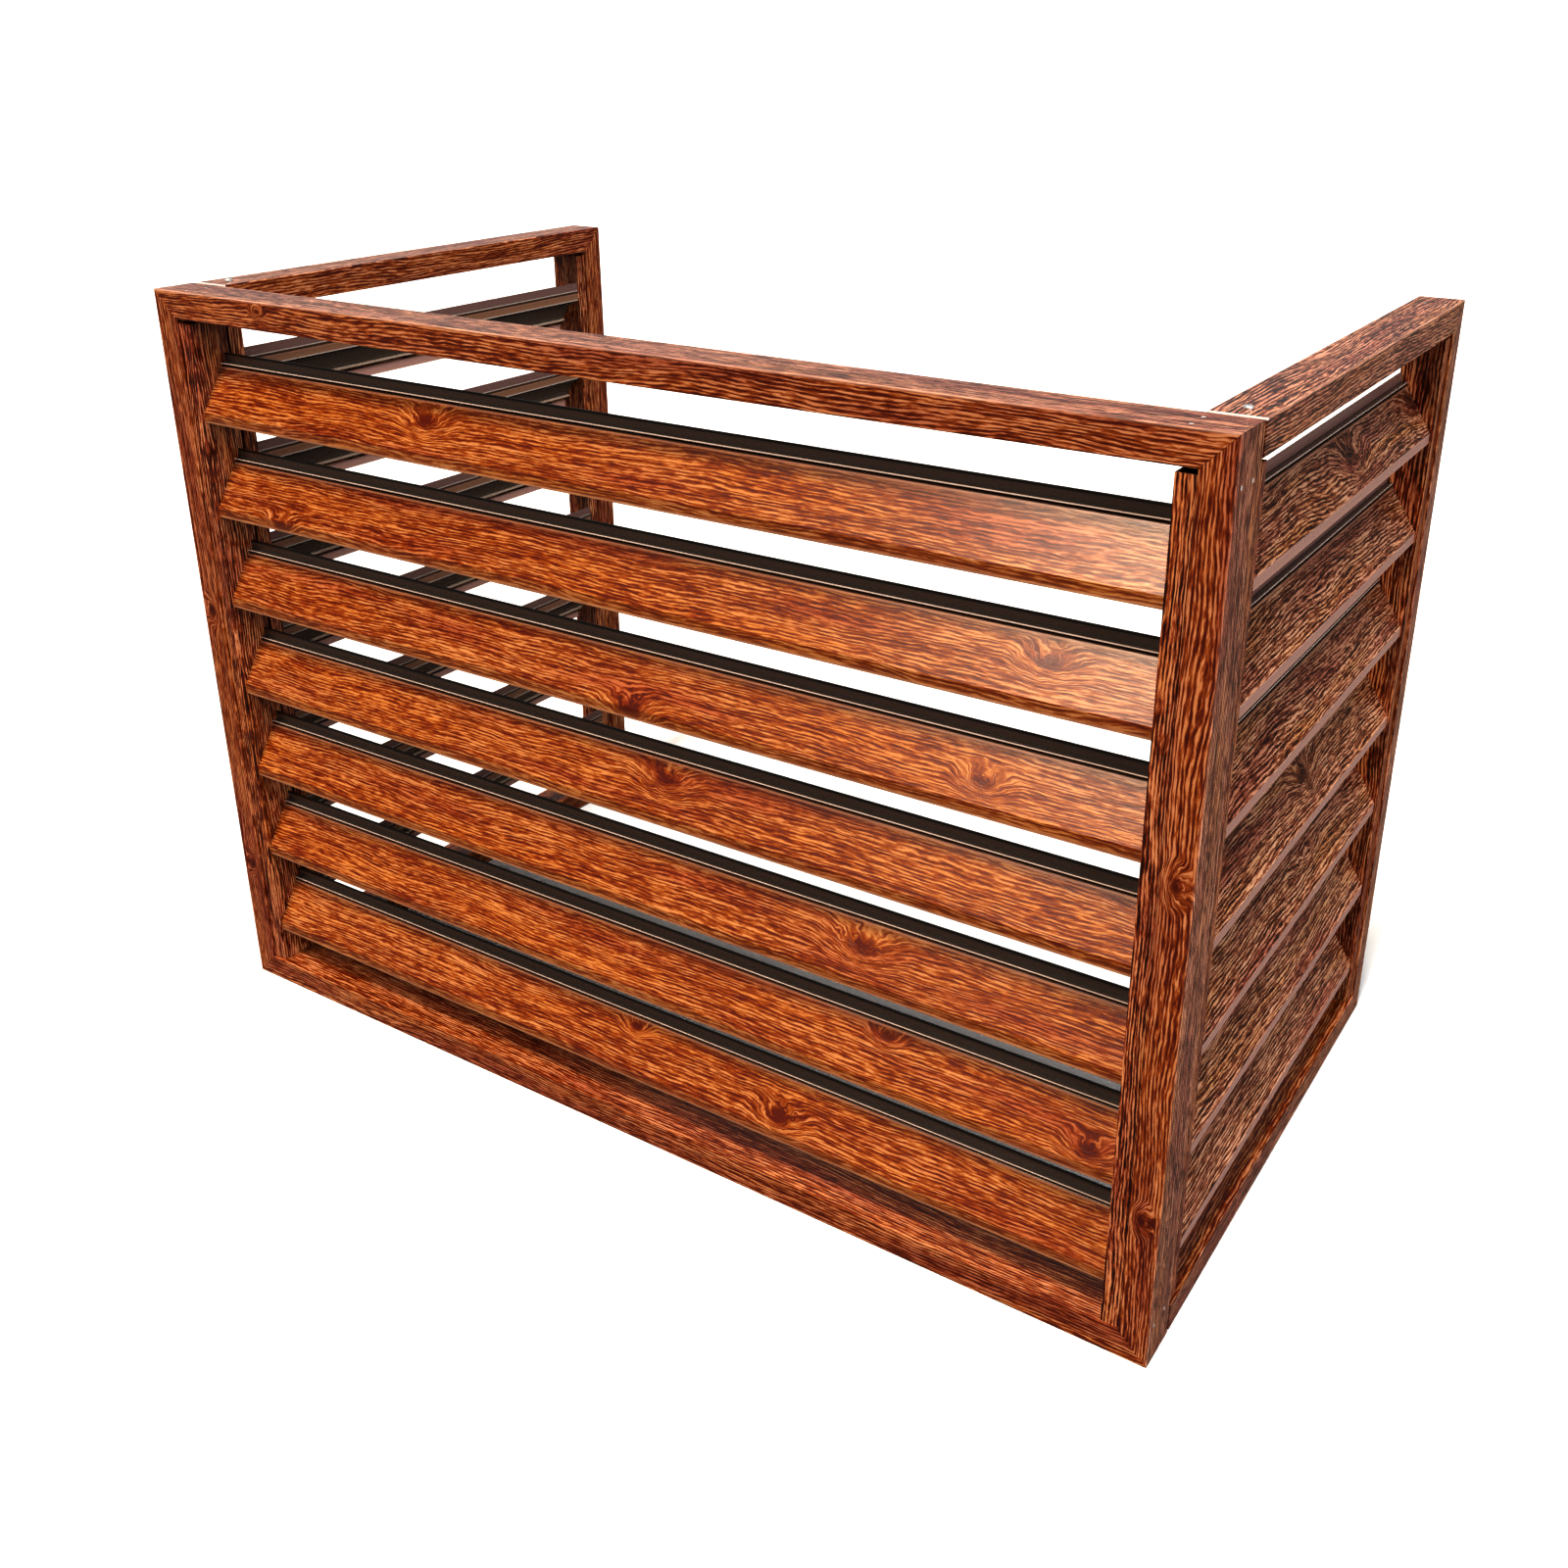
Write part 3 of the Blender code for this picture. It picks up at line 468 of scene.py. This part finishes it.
# Floor and light
studio = {
    "floorSize": 3000.0,
    "floorDrop": 0.0005,           # keeps the floor clear of the rails that stand on it
    "floorColour": "FBFBFB",
    "floorShade": "666462",        # what the floor throws back, lower than what the camera sees
    "floorRoughness": 0.85,
    "skyColour": "FFFFFF",
    "skyLow": 0.32,                # the sky's brightness at the horizon and overhead
    "skyHigh": 0.03,
    "skyFade": (0.12, 0.5),        # how high the change begins and ends
    "skyRight": 0.2,               # how much of the brightness is left on the right
    "skySide": (-0.2, 0.5),        # how far to the right that change begins and ends
    "backdrop": 1.0,               # the plain white that the camera sees behind the floor
    # soft boxes: where each stands from the screen, the cosine of its spread, and its brightness
    "softBoxes": {
        "side": ((0.90, -0.18, 0.38), 0.88, 7.4),
        "back": ((-0.48, 0.52, 0.70), 0.60, 0.4),
    },
    # where each lamp stands from the screen, how wide it looks, its power and its colour
    "lamps": {
        "key": ((0.02, -0.40, 0.91), 8, 3.2, "FFFBF4"),
        "glaze": ((-0.25, -0.66, 0.71), 19, 2.0, "FFEED8"),
    },
}

floorMesh = bpy.data.meshes.new("floor")
half = studio["floorSize"] / 2
floorMesh.from_pydata([(-half, -half, 0), (half, -half, 0), (half, half, 0), (-half, half, 0)], [], [(0, 1, 2, 3)])
floor = bpy.data.objects.new("floor", floorMesh)
floor.location.z = -studio["floorDrop"]
scene.collection.objects.link(floor)
floorPaint, floorTree, floorShader = newFinish("pale_studio_floor", {"Roughness": studio["floorRoughness"],
                                                                     "Specular IOR Level": 0})
seen = addNode(floorTree, "ShaderNodeLightPath").outputs["Is Camera Ray"]
floorColour = addNode(floorTree, "ShaderNodeMix",
                      {0: seen, 6: linearColour(studio["floorShade"]), 7: linearColour(studio["floorColour"])},
                      data_type="RGBA")
floorTree.links.new(floorColour.outputs[2], floorShader.inputs["Base Color"])
floorMesh.materials.append(floorPaint)

world = bpy.data.worlds.new("studio")
scene.world = world
world.use_nodes = True
skyTree = world.node_tree
sky = skyTree.nodes["Background"]
sky.inputs["Color"].default_value = linearColour(studio["skyColour"])
direction = addNode(skyTree, "ShaderNodeTexCoord").outputs["Generated"]
heading = addNode(skyTree, "ShaderNodeSeparateXYZ", {"Vector": direction}).outputs
fadeStart, fadeEnd = studio["skyFade"]
dome = addNode(skyTree, "ShaderNodeMapRange",
               {"Value": heading["Z"], "From Min": fadeStart, "From Max": fadeEnd,
                "To Min": studio["skyLow"], "To Max": studio["skyHigh"]},
               interpolation_type="SMOOTHSTEP").outputs["Result"]
sideStart, sideEnd = studio["skySide"]
shaded = addNode(skyTree, "ShaderNodeMapRange",
                 {"Value": heading["X"], "From Min": sideStart, "From Max": sideEnd,
                  "To Min": 1, "To Max": studio["skyRight"]}).outputs["Result"]
strength = addNode(skyTree, "ShaderNodeMath", {0: dome, 1: shaded}, operation="MULTIPLY").outputs[0]
for where, spread, power in studio["softBoxes"].values():
    towards = addNode(skyTree, "ShaderNodeVectorMath", {0: direction, 1: Vector(where).normalized()},
                      operation="DOT_PRODUCT").outputs["Value"]
    glow = addNode(skyTree, "ShaderNodeMapRange",
                   {"Value": towards, "From Min": spread, "From Max": 1, "To Min": 0, "To Max": power},
                   interpolation_type="SMOOTHSTEP").outputs["Result"]
    strength = addNode(skyTree, "ShaderNodeMath", {0: strength, 1: glow}, operation="ADD").outputs[0]
seen = addNode(skyTree, "ShaderNodeLightPath").outputs["Is Camera Ray"]
strength = addNode(skyTree, "ShaderNodeMix", {0: seen, 2: strength, 3: studio["backdrop"]}).outputs[0]
skyTree.links.new(strength, sky.inputs["Strength"])

for name, (towards, angle, power, code) in studio["lamps"].items():
    lampData = bpy.data.lights.new(name, "SUN")
    lampData.energy = power
    lampData.color = linearColour(code)[:3]
    lampData.angle = math.radians(angle)
    lamp = bpy.data.objects.new(name, lampData)
    lamp.rotation_euler = Vector(towards).to_track_quat("Z", "Y").to_euler()
    scene.collection.objects.link(lamp)
print("floor and light ready")

# Camera at the photograph's angle, in front of the right corner and above it
view = {
    "place": (0.9544, -1.4247, 1.1378),
    "forward": (-0.5019, 0.7745, -0.3851),
    "right": (0.8394, 0.5435, -0.0010),
    "sensor": 36,
    "lens": 36.31,
    "shift": (-0.0224, -0.0653),
    "exposure": 0.2,
    "gamma": 0.75,             # deepens the shadows and the wood's colours, as in the photograph
}
forward = Vector(view["forward"]).normalized()
right = Vector(view["right"]).normalized()
up = right.cross(forward).normalized()
cameraData = bpy.data.cameras.new("camera")
cameraData.sensor_width = view["sensor"]
cameraData.lens = view["lens"]
cameraData.shift_x, cameraData.shift_y = view["shift"]
camera = bpy.data.objects.new("camera", cameraData)
turn = Matrix((right, up, -forward)).transposed().to_4x4()
camera.matrix_world = Matrix.Translation(view["place"]) @ turn
scene.collection.objects.link(camera)
scene.camera = camera
scene.view_settings.view_transform = "Standard"
scene.view_settings.exposure = view["exposure"]
scene.view_settings.gamma = view["gamma"]
print("camera ready")
